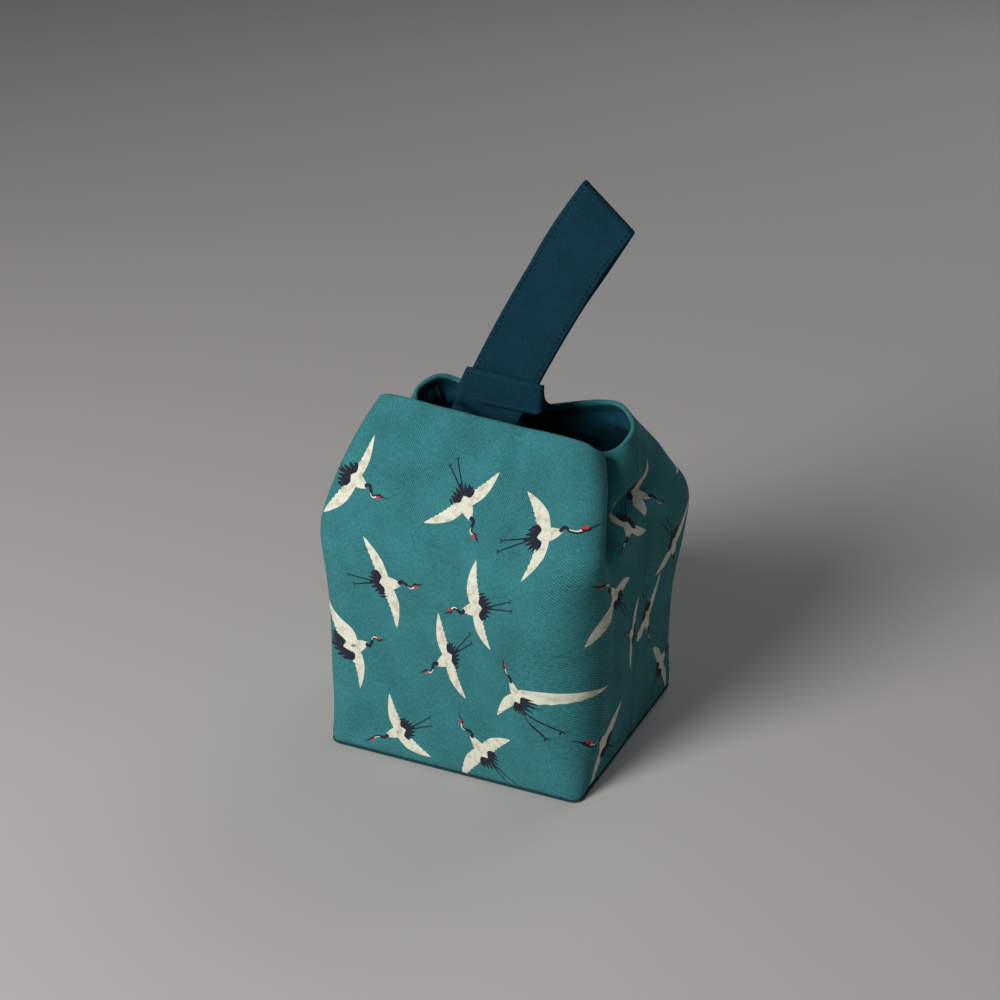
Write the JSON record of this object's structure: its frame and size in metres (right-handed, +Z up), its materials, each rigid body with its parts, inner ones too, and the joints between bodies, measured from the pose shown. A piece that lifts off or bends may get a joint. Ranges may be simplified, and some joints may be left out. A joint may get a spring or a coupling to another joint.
{
  "type": "drawstring pouch",
  "caption": "Box-bottomed cloth pouch with a gathered gable mouth, drawn shut by a doubled wrist strap that runs through a short keeper loop of the back rim.",
  "frame": {"origin": "centre of the base on the surface it stands on", "axes": "+Z up, -Y out of the front panel, +X to the right seen from the front, the side the strap leans to"},
  "size_m": [0.126, 0.116, 0.2511],
  "materials": {
    "printed_cloth": "teal twill printed with flying cranes",
    "plain_cloth": "dark petrol-blue plain cotton, topstitched",
    "fleece": "undyed fusible fleece, hidden",
    "board": "thin plastic stiffening sheet, hidden"
  },
  "bodies": {
    "pouch_body": {"front_wall_outer": "printed_cloth", "front_wall_fleece": "fleece", "front_wall_lining": "plain_cloth", "back_wall_outer": "printed_cloth", "back_wall_fleece": "fleece", "back_wall_lining": "plain_cloth", "right_gusset_front_outer": "printed_cloth", "right_gusset_front_fleece": "fleece", "right_gusset_front_lining": "plain_cloth", "right_gusset_back_outer": "printed_cloth", "right_gusset_back_fleece": "fleece", "right_gusset_back_lining": "plain_cloth", "left_gusset_front_outer": "printed_cloth", "left_gusset_front_fleece": "fleece", "left_gusset_front_lining": "plain_cloth", "left_gusset_back_outer": "printed_cloth", "left_gusset_back_fleece": "fleece", "left_gusset_back_lining": "plain_cloth", "base_panel": "plain_cloth", "base_lining": "plain_cloth", "front_strap_leg": "plain_cloth", "rear_strap_leg": "plain_cloth", "keeper_right_tail": "plain_cloth", "keeper_left_tail": "plain_cloth", "base_board": "board"},
    "front_flap": {"front_flap_outer": "printed_cloth", "front_flap_fleece": "fleece", "front_flap_lining": "plain_cloth", "front_strap_end": "plain_cloth", "rear_strap_end": "plain_cloth"},
    "back_flap": {"back_flap_outer": "printed_cloth", "back_flap_fleece": "fleece", "back_flap_lining": "plain_cloth", "keeper_right_end": "plain_cloth", "keeper_left_end": "plain_cloth"},
    "keeper": {"keeper_band": "plain_cloth"},
    "strap_loop": {"wrist_strap": "plain_cloth"}
  },
  "joints": [
    {"name": "front_flap_open", "type": "hinge", "parent": "pouch_body", "child": "front_flap", "pos_m": [0, -0.058, 0.102], "axis": [1, 0, 0], "range_deg": [0, 30]},
    {"name": "back_flap_open", "type": "hinge", "parent": "pouch_body", "child": "back_flap", "pos_m": [0, 0.058, 0.102], "axis": [-1, 0, 0], "range_deg": [0, 30]},
    {"name": "strap_swing", "type": "hinge", "parent": "pouch_body", "child": "keeper", "pos_m": [-0.005, -0.003, 0.149], "axis": [1, 0, 0], "range_deg": [-45, 45], "deforming": ["front_strap_leg", "rear_strap_leg", "keeper_right_tail", "keeper_left_tail"]},
    {"name": "strap_slide", "type": "slide", "parent": "keeper", "child": "strap_loop", "axis": [0.4521, 0, 0.892], "range_m": [-0.04, 0]}
  ],
  "couplings": [
    {"joint": "back_flap_open", "follows": "front_flap_open", "ratio": 1}
  ]
}
